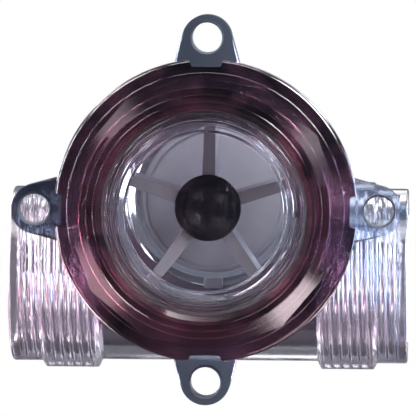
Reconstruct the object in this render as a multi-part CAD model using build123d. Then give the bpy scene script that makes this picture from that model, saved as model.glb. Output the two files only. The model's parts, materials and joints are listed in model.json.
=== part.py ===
"""Paddle-wheel sight glass: a clear moulded body with two threaded ports, a window held by a bayonet
ring, and a five-blade rotor on a fixed axle.

Millimetres. +X runs along the pipe, +Y from the window to the back of the body, +Z up. The origin is
the centre of the four mounting ears' bolt circle, on the ears' rear face."""

import math
import os

from build123d import *

# --- mounting flange and ears ---
FLANGE_SETBACK = 0.3
FLANGE_THICKNESS = 6.0
EAR_COUNT = 4
EAR_HOLE_OFFSET = 4.9
EAR_HOLE_R = 3.55
EAR_HOLE_TO_TIP = 5.4
EAR_TIP_R = 5.9
EAR_ROOT_HALF_WIDTH = 8.6
EAR_ROOT_OVERLAP = 4.3
EAR_EDGE = 0.5

# --- chamber ---
CHAMBER_R = 21.0
CHAMBER_WALL = 4.5
CHAMBER_FLOOR_Y = 37.0
CHAMBER_CORNER_R = 3.7
BACK_WALL = 5.4
BACK_EDGE_R = 2.5
FLOOR_RIM_WIDTH = 0.8
FLOOR_RIM_HEIGHT = 0.4
FLOOR_RIB_SIZE = (4.5, 3.0, 2.0)

# --- pipe and ports ---
PIPE_Y = 21.5
PIPE_Z = -17.1
PIPE_HALF_LENGTH = 47.2
PIPE_MID_R = 20.5
PIPE_END_R = 20.9
PIPE_BORE_R = 13.3
COLLAR_R = 22.4
COLLAR_INNER_X = 26.7
COLLAR_OUTER_X = 39.1
COLLAR_DRAFT = 0.9
PORT_EDGE = 0.6
SOCKET_DEPTH = 20.6
MOUTH_R = 17.1
MOUTH_LENGTH = 2.0
THREAD_CREST_R = 15.1

# --- bayonet ---
BARREL_WALL = 5.6
BARREL_LENGTH = 6.0
LUG_COUNT = 4
LUG_HEIGHT = 2.4
LUG_HALF_ANGLE = 12.5
BARREL_LUG_THICKNESS = 2.5
MOVING_GAP = 0.3

# --- locking ring ---
RIM_WIDTH = 3.0
RIM_THICKNESS = 3.2
RIM_EDGE = 0.7
STEP_WIDTH = 0.6
STEP_HEIGHT = 0.8
GRIP_WALL = 1.61
GRIP_SIDES = 12
GRIP_TURN = 5.0
RING_FRONT_WEB = 2.4
RING_OPENING_GAP = 0.6
RING_OPENING_BEVEL = 1.4
RING_LIP = 2.0
GROOVE_WIDTH = 1.8
GROOVE_DEPTH = 0.9
GRIP_EDGE = 0.7
NOTCH_DEPTH = 1.8
NOTCH_HALF_WIDTH = 3.4
NOTCH_FLARE = 1.2
MARK_MARGIN = 0.5
MARK_WIDTH = 0.7
MARK_HEIGHT = 0.3
MARK_START = 142.0
MARK_END = 172.0
MARK_HEAD_HALF_WIDTH = 1.0
MARK_HEAD_ANGLE = 5.0

# --- window ---
LENS_FLANGE_SETBACK = 0.4
LENS_FLANGE_THICKNESS = 2.4
WINDOW_LEDGE = 2.9
WINDOW_RISE = 2.2
WINDOW_EDGE = 0.7
WINDOW_THICKNESS = 5.0
WINDOW_STEP_INSETS = (2.6, 1.4)
WINDOW_STEP_DEPTH = 0.35
SPIGOT_WALL = 1.7
SPIGOT_LENGTH = 4.0
LENS_KEY_HALF_WIDTH = 1.6
LENS_KEY_DEPTH = 1.2
LENS_KEY_SEAL_WALL = 0.2
WASHER_THICKNESS = 0.5
SLIP_WASHER_SETBACK = 0.3

# --- seal ---
SEAL_INNER_WALL = 1.9
SEAL_GROOVE_WIDTH = 2.4
SEAL_GROOVE_DEPTH = 1.6
SEAL_WIDTH = 2.1

# --- rotor ---
BLADE_COUNT = 5
BLADE_START_ANGLE = 17.0
BLADE_TIP_GAP = 1.0
BLADE_ROOT_THICKNESS = 3.3
BLADE_TIP_THICKNESS = 2.7
BLADE_TIP_ROUND = 0.6
ROOT_BEAD_SHOULDER = 0.4
HUB_SKIN = 0.2
HUB_BORE_WALL = 0.88
HUB_R = 5.9
HUB_LENGTH = 16.1
HUB_END_WALL = 1.4
CAP_OVERHANG = 2.0
CAP_PLATE_THICKNESS = 1.4
CAP_STEP_INSETS = (1.5, 3.0)
CAP_STEP_HEIGHTS = (0.9, 2.4)
CAP_EDGE = 0.35
CAP_CAVITY_GAP = 0.6
CAP_DISH_R = 2.8
CAP_DISH_DEPTH = 0.9

# --- axle and bearings ---
AXLE_R = 1.6
AXLE_EDGE = 0.25
AXLE_HOLD_LENGTH = 5.4
AXLE_CLEARANCE = 0.05
BUSHING_WALL = 0.95
BUSHING_LENGTH = 8.0
BUSHING_FLANGE_R = 2.95
BUSHING_FLANGE = 0.6
REAR_BOSS_ROOT_R = 5.0
REAR_BOSS_R = 3.6
REAR_BOSS_HEIGHT = 14.0
THRUST_WASHER_R = 2.8
CLIP_R = 3.3
CLIP_THICKNESS = 0.6
AXLE_TIP = 0.6

# --- clearances ---
FIT = 0.02
SPIGOT_CLEARANCE = 0.3
SEAL_CLEARANCE = (SEAL_GROOVE_WIDTH - SEAL_WIDTH) / 2

# --- places along Y that follow from the sizes above ---
FLANGE_FRONT_Y = -FLANGE_THICKNESS
BARREL_FRONT_Y = FLANGE_FRONT_Y - BARREL_LENGTH
BODY_BACK_Y = CHAMBER_FLOOR_Y + BACK_WALL
LENS_FLANGE_FRONT_Y = BARREL_FRONT_Y - LENS_FLANGE_THICKNESS
WINDOW_FRONT_Y = LENS_FLANGE_FRONT_Y - WINDOW_RISE
WINDOW_INNER_Y = WINDOW_FRONT_Y + WINDOW_THICKNESS
WASHER_FRONT_Y = LENS_FLANGE_FRONT_Y - WASHER_THICKNESS
RING_BACK_Y = FLANGE_FRONT_Y - MOVING_GAP
RING_LUG_FRONT_Y = BARREL_FRONT_Y + BARREL_LUG_THICKNESS + MOVING_GAP
RING_WEB_BACK_Y = WASHER_FRONT_Y - MOVING_GAP
RING_FRONT_Y = RING_WEB_BACK_Y - RING_FRONT_WEB
RIM_FRONT_Y = RING_BACK_Y - RIM_THICKNESS
REAR_BOSS_FRONT_Y = CHAMBER_FLOOR_Y - REAR_BOSS_HEIGHT
REAR_BUSHING_BACK_Y = REAR_BOSS_FRONT_Y - WASHER_THICKNESS - MOVING_GAP
HUB_BACK_Y = REAR_BUSHING_BACK_Y - BUSHING_FLANGE
HUB_FRONT_Y = HUB_BACK_Y - HUB_LENGTH
BLADE_BACK_Y = HUB_BACK_Y - HUB_END_WALL
CAP_NOSE_Y = HUB_FRONT_Y - CAP_PLATE_THICKNESS - sum(CAP_STEP_HEIGHTS)
FRONT_BUSHING_FRONT_Y = HUB_FRONT_Y - BUSHING_FLANGE
FRONT_WASHER_BACK_Y = FRONT_BUSHING_FRONT_Y - MOVING_GAP
CLIP_BACK_Y = FRONT_WASHER_BACK_Y - WASHER_THICKNESS
AXLE_FRONT_Y = CLIP_BACK_Y - CLIP_THICKNESS - AXLE_TIP
CAP_CAVITY_FRONT_Y = AXLE_FRONT_Y - CAP_CAVITY_GAP

# --- radii that follow from the sizes above ---
BLADE_TIP_R = CHAMBER_R - BLADE_TIP_GAP
SEAL_GROOVE_INNER_R = CHAMBER_R + SEAL_INNER_WALL
SEAL_GROOVE_OUTER_R = SEAL_GROOVE_INNER_R + SEAL_GROOVE_WIDTH
LENS_KEY_INNER_R = SEAL_GROOVE_OUTER_R + LENS_KEY_SEAL_WALL
BARREL_R = CHAMBER_R + BARREL_WALL
LENS_FLANGE_R = BARREL_R - LENS_FLANGE_SETBACK
WINDOW_R = LENS_FLANGE_R - WINDOW_LEDGE
BARREL_LUG_R = BARREL_R + LUG_HEIGHT
RING_BORE_R = BARREL_LUG_R + MOVING_GAP
RING_LUG_R = BARREL_R + MOVING_GAP
GRIP_R = (RING_BORE_R + GRIP_WALL) / math.cos(math.pi / GRIP_SIDES)
STEP_R = GRIP_R + STEP_WIDTH
RIM_R = STEP_R + RIM_WIDTH
NOTCH_FLOOR_R = RIM_R - NOTCH_DEPTH
FLANGE_R = RIM_R - FLANGE_SETBACK
EAR_BOLT_CIRCLE_R = RIM_R + EAR_HOLE_OFFSET
EAR_REACH = EAR_BOLT_CIRCLE_R + EAR_HOLE_TO_TIP
EAR_ROOT_R = FLANGE_R - EAR_ROOT_OVERLAP
RING_OPENING_R = WINDOW_R + RING_OPENING_GAP
GROOVE_INNER_R = RING_OPENING_R + RING_LIP
GROOVE_OUTER_R = GROOVE_INNER_R + GROOVE_WIDTH
MARK_INNER_R = GROOVE_OUTER_R + MARK_MARGIN
MARK_OUTER_R = MARK_INNER_R + MARK_WIDTH
SLIP_WASHER_R = RING_OPENING_R + SLIP_WASHER_SETBACK
CAP_R = HUB_R + CAP_OVERHANG
CAP_CAVITY_R = CLIP_R + CAP_CAVITY_GAP
BUSHING_R = AXLE_R + AXLE_CLEARANCE + BUSHING_WALL
HUB_BORE_R = BUSHING_R + FIT
ROOT_BEAD_R = (HUB_R - HUB_SKIN - HUB_BORE_R - HUB_BORE_WALL) / 2
ROOT_BEAD_PITCH_R = HUB_R - HUB_SKIN - ROOT_BEAD_R
NECK_THICKNESS = 2 * (ROOT_BEAD_R - ROOT_BEAD_SHOULDER)


def facing(y):
    """The plane at depth y that faces the window, with its own x along +X and its own y along +Z."""
    return Plane(origin=(0, y, 0), x_dir=(1, 0, 0), z_dir=(0, -1, 0))


def slab(outline, back_y, front_y):
    """An outline seen from the front, solid from back_y forwards to front_y."""
    return extrude(facing(back_y) * outline, back_y - front_y)


def turned(points):
    """A solid turned about the rotor's axis from (radius, y) points."""
    return revolve(make_face(Polyline(*points, close=True)), Axis.Y)


def tube(outer_r, inner_r, back_y, front_y):
    """A plain tube or washer about the rotor's axis."""
    return slab(Circle(outer_r) - Circle(inner_r), back_y, front_y)


def turned_along_pipe(points):
    """A solid turned about the pipe's axis from (x, radius) points."""
    return Pos(0, PIPE_Y, PIPE_Z) * revolve(make_face(Polyline(*points, close=True)), Axis.X)


def both_ends(right_half):
    """A right-hand solid and its mirror image on the left."""
    return [right_half, mirror(right_half, Plane.YZ)]


def sector(inner_r, outer_r, half_angle, angle):
    """A piece of an annulus centred on a direction, for lugs."""
    side = 2 * outer_r
    half_width = side * math.tan(math.radians(half_angle))
    wedge = Polygon((0, 0), (side, -half_width), (side, half_width), align=None)
    return Rot(0, 0, angle) * ((Circle(outer_r) - Circle(inner_r)) & wedge)


def ring_of_lugs(inner_r, outer_r, back_y, front_y):
    """Bayonet lugs, one in line with each ear."""
    lugs = [
        slab(sector(inner_r, outer_r, LUG_HALF_ANGLE, 360 * i / LUG_COUNT), back_y, front_y)
        for i in range(LUG_COUNT)
    ]
    return lugs


def ear(angle):
    """One mounting ear: straight tapered sides run from a wide root to a round tip."""
    tip = Pos(EAR_REACH - EAR_TIP_R, 0) * Circle(EAR_TIP_R)
    root = Line((EAR_ROOT_R, -EAR_ROOT_HALF_WIDTH), (EAR_ROOT_R, EAR_ROOT_HALF_WIDTH))
    outline = make_hull([*tip.edges(), root.edge()])
    plate = slab(outline, 0, FLANGE_FRONT_Y)
    plate = chamfer(plate.faces().filter_by(Axis.Y).edges(), EAR_EDGE)
    return Rot(0, -angle, 0) * plate


def ear_hole(angle):
    """The clearance hole through one ear."""
    centre = Rot(0, 0, angle) * Pos(EAR_BOLT_CIRCLE_R, 0)
    return slab(centre * Circle(EAR_HOLE_R), 1, FLANGE_FRONT_Y - 1)


def chamber_outside():
    """The round chamber's outer wall and back, with a rounded back edge."""
    outer_r = CHAMBER_R + CHAMBER_WALL
    drum = slab(Circle(outer_r), BODY_BACK_Y, 0)
    back = drum.faces().sort_by(Axis.Y)[-1]
    return fillet(back.edges(), BACK_EDGE_R)


def chamber_space():
    """The space that the rotor turns in: a bore with a rounded corner at its floor."""
    bore = slab(Circle(CHAMBER_R), CHAMBER_FLOOR_Y, BARREL_FRONT_Y)
    floor = bore.faces().sort_by(Axis.Y)[-1]
    return fillet(floor.edges(), CHAMBER_CORNER_R)


def pipe_outside():
    """The pipe's outer skin: a plain middle and, towards each end, a raised collar with drafted sides."""
    half = [
        (0, 0),
        (0, PIPE_MID_R),
        (COLLAR_INNER_X - COLLAR_DRAFT, PIPE_MID_R),
        (COLLAR_INNER_X, COLLAR_R),
        (COLLAR_OUTER_X, COLLAR_R),
        (COLLAR_OUTER_X + COLLAR_DRAFT, PIPE_END_R),
        (PIPE_HALF_LENGTH - PORT_EDGE, PIPE_END_R),
        (PIPE_HALF_LENGTH, PIPE_END_R - PORT_EDGE),
        (PIPE_HALF_LENGTH, 0),
    ]
    return both_ends(turned_along_pipe(half))


def port_space():
    """The right-hand port: a plain mouth, a bore at the thread's crests, and a shoulder."""
    socket_end = PIPE_HALF_LENGTH - SOCKET_DEPTH
    mouth_start = PIPE_HALF_LENGTH - MOUTH_LENGTH
    outside = PIPE_HALF_LENGTH + 1
    profile = [
        (socket_end, 0),
        (socket_end, THREAD_CREST_R),
        (mouth_start, THREAD_CREST_R),
        (mouth_start, MOUTH_R),
        (outside, MOUTH_R),
        (outside, 0),
    ]
    return turned_along_pipe(profile)


def waterway():
    """The straight passage from port to port, which opens into the lower part of the chamber."""
    reach = PIPE_HALF_LENGTH
    profile = [(-reach, 0), (-reach, PIPE_BORE_R), (reach, PIPE_BORE_R), (reach, 0)]
    return turned_along_pipe(profile)


def seal_groove():
    """The groove for the O-ring in the barrel's front face."""
    back_y = BARREL_FRONT_Y + SEAL_GROOVE_DEPTH
    return tube(SEAL_GROOVE_OUTER_R, SEAL_GROOVE_INNER_R, back_y, BARREL_FRONT_Y)


def floor_details():
    """A low rim around the chamber floor, the axle's rear boss, and a small rib at the bottom."""
    rim_r = CHAMBER_R - CHAMBER_CORNER_R
    rim = tube(rim_r, rim_r - FLOOR_RIM_WIDTH, CHAMBER_FLOOR_Y, CHAMBER_FLOOR_Y - FLOOR_RIM_HEIGHT)
    boss = turned(
        [
            (0, CHAMBER_FLOOR_Y),
            (REAR_BOSS_ROOT_R, CHAMBER_FLOOR_Y),
            (REAR_BOSS_R, REAR_BOSS_FRONT_Y),
            (0, REAR_BOSS_FRONT_Y),
        ]
    )
    width, depth, height = FLOOR_RIB_SIZE
    rib = Pos(0, CHAMBER_FLOOR_Y - depth / 2, height / 2 - CHAMBER_R) * Box(width, depth, height)
    return [rim, boss, rib]


def lens_key_slot():
    """The slot in the barrel's front face that the window's key drops into."""
    inner_r = LENS_KEY_INNER_R - FIT
    length = BARREL_LUG_R + 1 - inner_r
    slot = Pos(inner_r + length / 2, 0) * Rectangle(length, 2 * (LENS_KEY_HALF_WIDTH + FIT))
    return slab(slot, BARREL_FRONT_Y + LENS_KEY_DEPTH + FIT, BARREL_FRONT_Y)


def body():
    """The moulded body: flange and ears, bayonet barrel, chamber and pipe in one piece."""
    solid = slab(Circle(FLANGE_R), 0, FLANGE_FRONT_Y) + chamber_outside() + pipe_outside()
    solid += slab(Circle(BARREL_R), 0, BARREL_FRONT_Y)
    lug_back_y = BARREL_FRONT_Y + BARREL_LUG_THICKNESS
    solid += ring_of_lugs(BARREL_R - 1, BARREL_LUG_R, lug_back_y, BARREL_FRONT_Y)
    angles = [360 * i / EAR_COUNT for i in range(EAR_COUNT)]
    solid += [ear(angle) for angle in angles]
    solid -= chamber_space()
    solid -= waterway()
    solid += floor_details()
    solid -= both_ends(port_space())
    solid -= [ear_hole(angle) for angle in angles]
    solid -= seal_groove()
    solid -= lens_key_slot()
    solid -= slab(Circle(AXLE_R + FIT), REAR_BOSS_FRONT_Y + AXLE_HOLD_LENGTH, REAR_BOSS_FRONT_Y)
    return solid


def locking_ring():
    """The bayonet ring: a notched rim, a twelve-sided grip, and a front web around the opening."""
    ring = slab(Circle(RIM_R), RING_BACK_Y, RIM_FRONT_Y)
    ring = chamfer(ring.faces().sort_by(Axis.Y)[0].edges(), RIM_EDGE)
    ring += slab(Circle(STEP_R), RIM_FRONT_Y, RIM_FRONT_Y - STEP_HEIGHT)
    grip = slab(RegularPolygon(GRIP_R, GRIP_SIDES, rotation=GRIP_TURN), RIM_FRONT_Y, RING_FRONT_Y)
    ring += chamfer(grip.faces().sort_by(Axis.Y)[0].edges(), GRIP_EDGE)
    ring -= slab(Circle(RING_BORE_R), RING_BACK_Y, RING_WEB_BACK_Y)
    ring -= turned(
        [
            (0, RING_WEB_BACK_Y),
            (RING_OPENING_R, RING_WEB_BACK_Y),
            (RING_OPENING_R, RING_FRONT_Y + RING_OPENING_BEVEL),
            (RING_OPENING_R + RING_OPENING_BEVEL, RING_FRONT_Y),
            (0, RING_FRONT_Y),
        ]
    )
    ring -= tube(GROOVE_OUTER_R, GROOVE_INNER_R, RING_FRONT_Y + GROOVE_DEPTH, RING_FRONT_Y)
    ring += ring_of_lugs(RING_LUG_R, RING_BORE_R + 1, RING_BACK_Y, RING_LUG_FRONT_Y)
    ring -= [rim_notch(360 * i / EAR_COUNT) for i in range(EAR_COUNT)]
    ring += turn_arrow()
    return ring


def rim_notch(angle):
    """A notch in the rim in front of an ear, wider at its mouth than at its floor."""
    mouth_r = RIM_R + 1
    mouth_half = NOTCH_HALF_WIDTH + NOTCH_FLARE
    outline = Polygon(
        (NOTCH_FLOOR_R, -NOTCH_HALF_WIDTH),
        (mouth_r, -mouth_half),
        (mouth_r, mouth_half),
        (NOTCH_FLOOR_R, NOTCH_HALF_WIDTH),
        align=None,
    )
    return slab(Rot(0, 0, angle) * outline, RING_BACK_Y, RIM_FRONT_Y)


def turn_arrow():
    """A raised arc with an arrow head on the ring's front, showing which way the ring opens."""
    middle = (MARK_START + MARK_END) / 2
    bar = sector(MARK_INNER_R, MARK_OUTER_R, (MARK_END - MARK_START) / 2, middle)
    centre_r = (MARK_INNER_R + MARK_OUTER_R) / 2
    tip = math.radians(MARK_HEAD_ANGLE)
    head = Rot(0, 0, MARK_END) * Polygon(
        (centre_r - MARK_HEAD_HALF_WIDTH, 0),
        (centre_r + MARK_HEAD_HALF_WIDTH, 0),
        (centre_r * math.cos(tip), centre_r * math.sin(tip)),
        align=None,
    )
    return slab(bar + head, RING_FRONT_Y, RING_FRONT_Y - MARK_HEIGHT)


def lens():
    """The window: a flange under the ring, a stepped clear disc, a spigot and a key."""
    spigot_r = CHAMBER_R - SPIGOT_CLEARANCE
    spigot_y = BARREL_FRONT_Y + SPIGOT_LENGTH
    profile = [
        *window_step_points(),
        (WINDOW_R - WINDOW_EDGE, WINDOW_FRONT_Y),
        (WINDOW_R, WINDOW_FRONT_Y + WINDOW_EDGE),
        (WINDOW_R, LENS_FLANGE_FRONT_Y),
        (LENS_FLANGE_R, LENS_FLANGE_FRONT_Y),
        (LENS_FLANGE_R, BARREL_FRONT_Y),
        (spigot_r, BARREL_FRONT_Y),
        (spigot_r, spigot_y),
        (spigot_r - SPIGOT_WALL, spigot_y),
        (spigot_r - SPIGOT_WALL, WINDOW_INNER_Y),
        (0, WINDOW_INNER_Y),
    ]
    length = LENS_FLANGE_R - LENS_KEY_INNER_R
    key = Pos(LENS_KEY_INNER_R + length / 2, 0) * Rectangle(length, 2 * LENS_KEY_HALF_WIDTH)
    return turned(profile) + slab(key, BARREL_FRONT_Y + LENS_KEY_DEPTH, LENS_FLANGE_FRONT_Y)


def window_step_points():
    """The middle of the window's face, and the shallow rings that step up to its rim."""
    depth = WINDOW_STEP_DEPTH * len(WINDOW_STEP_INSETS)
    points = [(0, WINDOW_FRONT_Y + depth)]
    for inset in WINDOW_STEP_INSETS:
        points.append((WINDOW_R - inset, WINDOW_FRONT_Y + depth))
        depth -= WINDOW_STEP_DEPTH
        points.append((WINDOW_R - inset, WINDOW_FRONT_Y + depth))
    return points


def lens_o_ring():
    """The O-ring, pressed flat between the groove's floor and the window's flange."""
    inner_r = SEAL_GROOVE_INNER_R + SEAL_CLEARANCE
    centre = Pos(inner_r + SEAL_WIDTH / 2, BARREL_FRONT_Y + SEAL_GROOVE_DEPTH / 2)
    section = RectangleRounded(SEAL_WIDTH, SEAL_GROOVE_DEPTH, SEAL_GROOVE_DEPTH * 0.45)
    return revolve(centre * section, Axis.Y)


def slip_washer():
    """The thin ring that lets the locking ring turn without dragging the window round."""
    return tube(LENS_FLANGE_R, SLIP_WASHER_R, LENS_FLANGE_FRONT_Y, WASHER_FRONT_Y)


def axle():
    """The fixed pin that stands in the rear boss and ends inside the hub's cap."""
    pin = slab(Circle(AXLE_R), REAR_BOSS_FRONT_Y + AXLE_HOLD_LENGTH - FIT, AXLE_FRONT_Y)
    return chamfer(pin.faces().filter_by(Axis.Y).edges(), AXLE_EDGE)


def blade_root(clearance=0.0):
    """A blade's neck and rounded root seen from the front, grown by a clearance for its slot."""
    length = HUB_R + 1 - ROOT_BEAD_PITCH_R
    neck = Rectangle(length, NECK_THICKNESS + 2 * clearance)
    neck = Pos(ROOT_BEAD_PITCH_R + length / 2, 0) * neck
    return neck + Pos(ROOT_BEAD_PITCH_R, 0) * Circle(ROOT_BEAD_R + clearance)


def blade(angle):
    """One blade: a plate that thins towards its tip, held in the hub by its rounded root."""
    outline = Polygon(
        (ROOT_BEAD_PITCH_R, -BLADE_ROOT_THICKNESS / 2),
        (BLADE_TIP_R, -BLADE_TIP_THICKNESS / 2),
        (BLADE_TIP_R, BLADE_TIP_THICKNESS / 2),
        (ROOT_BEAD_PITCH_R, BLADE_ROOT_THICKNESS / 2),
        align=None,
    )
    plate = slab(outline - Circle(HUB_R + FIT), BLADE_BACK_Y, HUB_FRONT_Y)
    tip = plate.faces().sort_by(Axis.X)[-1]
    plate = fillet(tip.edges().filter_by(Axis.Y), BLADE_TIP_ROUND)
    return Rot(0, -angle, 0) * (plate + slab(blade_root(), BLADE_BACK_Y, HUB_FRONT_Y))


def blade_angles():
    """The blades' directions, evenly spaced."""
    return [BLADE_START_ANGLE + 360 * i / BLADE_COUNT for i in range(BLADE_COUNT)]


def rotor_hub():
    """The hub: a bore for the bushings and one keyhole slot for each blade, open at the front."""
    hub = slab(Circle(HUB_R), HUB_BACK_Y, HUB_FRONT_Y)
    slots = [
        slab(Rot(0, 0, angle) * blade_root(FIT), BLADE_BACK_Y + FIT, HUB_FRONT_Y)
        for angle in blade_angles()
    ]
    hub -= slots
    return hub - slab(Circle(HUB_BORE_R), HUB_BACK_Y, HUB_FRONT_Y)


def hub_cap():
    """The stepped nose that closes the blade slots and covers the axle's end."""
    nose = slab(Circle(CAP_R), HUB_FRONT_Y, HUB_FRONT_Y - CAP_PLATE_THICKNESS)
    nose = chamfer(nose.faces().sort_by(Axis.Y)[0].edges(), CAP_EDGE)
    step_y = HUB_FRONT_Y - CAP_PLATE_THICKNESS
    for inset, height in zip(CAP_STEP_INSETS, CAP_STEP_HEIGHTS):
        step = slab(Circle(CAP_R - inset), step_y, step_y - height)
        nose += chamfer(step.faces().sort_by(Axis.Y)[0].edges(), CAP_EDGE)
        step_y -= height
    nose -= slab(Circle(CAP_DISH_R), CAP_NOSE_Y + CAP_DISH_DEPTH, CAP_NOSE_Y)
    return nose - slab(Circle(CAP_CAVITY_R), HUB_FRONT_Y, CAP_CAVITY_FRONT_Y)


def axle_clip():
    """The push-on retainer near the axle's tip, which keeps the rotor on."""
    return tube(CLIP_R, AXLE_R + FIT, CLIP_BACK_Y, CLIP_BACK_Y - CLIP_THICKNESS)


def bushing(flange_y, length_along_y):
    """A flanged bushing: its flange's outer face is at flange_y and its sleeve runs along Y."""
    bore_r = AXLE_R + AXLE_CLEARANCE
    direction = math.copysign(1, length_along_y)
    neck_y = flange_y + direction * BUSHING_FLANGE
    return turned(
        [
            (bore_r, flange_y),
            (BUSHING_FLANGE_R, flange_y),
            (BUSHING_FLANGE_R, neck_y),
            (BUSHING_R, neck_y),
            (BUSHING_R, flange_y + length_along_y),
            (bore_r, flange_y + length_along_y),
        ]
    )


def thrust_washer(back_y):
    """A thin washer between a fixed face and the bushing that faces it."""
    return tube(THRUST_WASHER_R, AXLE_R + AXLE_CLEARANCE, back_y, back_y - WASHER_THICKNESS)


def pieces():
    """Every piece of the sight glass by name."""
    made = {
        "body": body(),
        "lens": lens(),
        "lens_o_ring": lens_o_ring(),
        "slip_washer": slip_washer(),
        "locking_ring": locking_ring(),
        "axle": axle(),
        "axle_clip": axle_clip(),
        "rotor_hub": rotor_hub(),
        "hub_cap": hub_cap(),
        "front_bushing": bushing(FRONT_BUSHING_FRONT_Y, BUSHING_LENGTH),
        "rear_bushing": bushing(REAR_BUSHING_BACK_Y, -BUSHING_LENGTH),
        "front_thrust_washer": thrust_washer(FRONT_WASHER_BACK_Y),
        "rear_thrust_washer": thrust_washer(REAR_BOSS_FRONT_Y),
    }
    for i, angle in enumerate(blade_angles(), start=1):
        made[f"blade_{i}"] = blade(angle)
    return made


os.makedirs("parts", exist_ok=True)
for name, solid in pieces().items():
    solid.label = name
    export_step(solid, f"parts/{name}.step")
    print(f"{name}: {solid.volume:.1f} mm3")
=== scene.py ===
# %% [markdown]
# # A paddle-wheel sight glass
# Water runs through the pipe and turns five grey blades behind a round window. A plum ring with a
# bayonet holds the window on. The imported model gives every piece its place; this lesson gives the
# pieces their moulded shapes, their clear plastics and a quiet studio.

# %% Load the frame
import json
import math

import bmesh
import bpy
from mathutils import Matrix, Vector


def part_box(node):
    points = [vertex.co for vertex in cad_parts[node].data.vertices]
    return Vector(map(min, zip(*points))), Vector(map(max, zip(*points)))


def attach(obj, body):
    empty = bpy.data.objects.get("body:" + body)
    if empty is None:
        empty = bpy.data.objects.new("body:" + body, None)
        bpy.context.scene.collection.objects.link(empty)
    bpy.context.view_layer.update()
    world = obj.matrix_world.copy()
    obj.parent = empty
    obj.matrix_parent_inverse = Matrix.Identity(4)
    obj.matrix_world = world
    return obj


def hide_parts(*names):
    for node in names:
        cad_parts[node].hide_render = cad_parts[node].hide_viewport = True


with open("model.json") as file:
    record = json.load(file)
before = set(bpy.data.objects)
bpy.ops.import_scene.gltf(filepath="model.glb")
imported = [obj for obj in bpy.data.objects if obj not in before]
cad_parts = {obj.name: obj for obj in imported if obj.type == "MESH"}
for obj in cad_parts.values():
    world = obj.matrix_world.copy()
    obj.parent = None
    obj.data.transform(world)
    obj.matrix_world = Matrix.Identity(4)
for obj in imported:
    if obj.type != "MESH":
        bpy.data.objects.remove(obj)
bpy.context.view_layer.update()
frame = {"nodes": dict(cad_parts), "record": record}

MM = 0.001
nodes = frame["nodes"]

# %% [markdown]
# ## Sizes
# The frame's boxes give where each piece starts and ends. `span` reads one of them in millimetres, so
# that a profile can be drawn with the numbers a turner would use. Sizes that a box can't show, such
# as a groove's width, are named in the next cell or beside the piece that uses them.

# %% Sizes read from the frame
def span(node):
    """The lowest and highest corners of a node, in millimetres."""
    low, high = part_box(node)
    return Vector(low) / MM, Vector(high) / MM


body_low, body_high = span("body")
ring_low, ring_high = span("locking_ring")
lens_low, lens_high = span("lens")
hub_low, hub_high = span("rotor_hub")
cap_low, cap_high = span("hub_cap")

mounts = {mount["name"]: mount for mount in frame["record"]["mounts"]}
port = mounts["right_port"]
bolts = mounts["ear_bolts"]["dims"]
PIPE_Y, PIPE_Z = (v / MM for v in port["pos_m"][1:])
CREST_R = port["dims"]["r_mm"]
THREAD_LENGTH = port["dims"]["length_mm"]
BOLT_CIRCLE_R = bolts["pcd_mm"] / 2
EAR_HOLE_R = bolts["hole_r_mm"]

EAR_REACH = body_high.z
PIPE_HALF = body_high.x
BARREL_FRONT = body_low.y
FLANGE_FRONT = -6.0
RIM_R = 35.6
BARREL_R = 26.6
CHAMBER_R = 21.0
FLOOR_Y = 37.0
DRUM_R = 25.5
DRUM_BACK = 42.4
COLLAR_R = body_high.y - PIPE_Y
BLADE_COUNT = 5
FIRST_BLADE = 17.0
FLOOR_RIM_IN = 16.5
FLOOR_RIM_OUT = 17.3
WATERWAY_R = 13.3
MOUTH_R = 17.1
MOUTH_FLARE_R = 18.5
MOUTH_DEPTH = 2.0
THREAD_DEPTH = 1.6
PITCH = 2.209
SEAL_GROOVE_IN = 22.9
SEAL_GROOVE_OUT = 25.3
SEAL_GROOVE_DEPTH = 1.6
LUG_HALF_ANGLE = 12.5
SHARP_ANGLE = 32.0
ring_width = round(ring_high.x - ring_low.x, 1)
print("ring is", ring_width, "mm across; pipe is", round(2 * PIPE_HALF, 1), "mm long")

# %% [markdown]
# ## Camera
# A long lens far away keeps the circles round. The camera stands a little to the right and a little
# above, with a slight roll, and looks at the middle of the ears.

# %% Camera
def look_from(azimuth, elevation, roll, distance, shift_right, shift_up, lens):
    """A camera round the origin: angles in degrees, lengths in millimetres."""
    a, e, r = (math.radians(v) for v in (azimuth, elevation, roll))
    back = Vector((math.sin(a) * math.cos(e), -math.cos(a) * math.cos(e), math.sin(e)))
    level = Vector((math.cos(a), math.sin(a), 0))
    upright = back.cross(level)
    right = level * math.cos(r) + upright * math.sin(r)
    up = back.cross(right)
    place = back * distance + level * shift_right + upright * shift_up
    camera = bpy.data.objects.new("camera", bpy.data.cameras.new("camera"))
    bpy.context.scene.collection.objects.link(camera)
    turn = Matrix((right, up, back)).transposed()
    camera.matrix_world = Matrix.Translation(place * MM) @ turn.to_4x4()
    camera.data.lens = lens
    camera.data.sensor_width = 36
    camera.data.clip_end = 20
    bpy.context.scene.camera = camera
    return camera


camera = look_from(2.73, 3.63, 0.31, 1300, 0.186, 0.189, 477.5)
print("camera at", [round(v, 3) for v in camera.location])

# %% [markdown]
# ## Node helpers
# `Wire` wraps a socket, so that shader and geometry maths read as plain sums. `Nodes.add` makes any
# other node: its settings first, then its sockets, each with a value or a wire.

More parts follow.
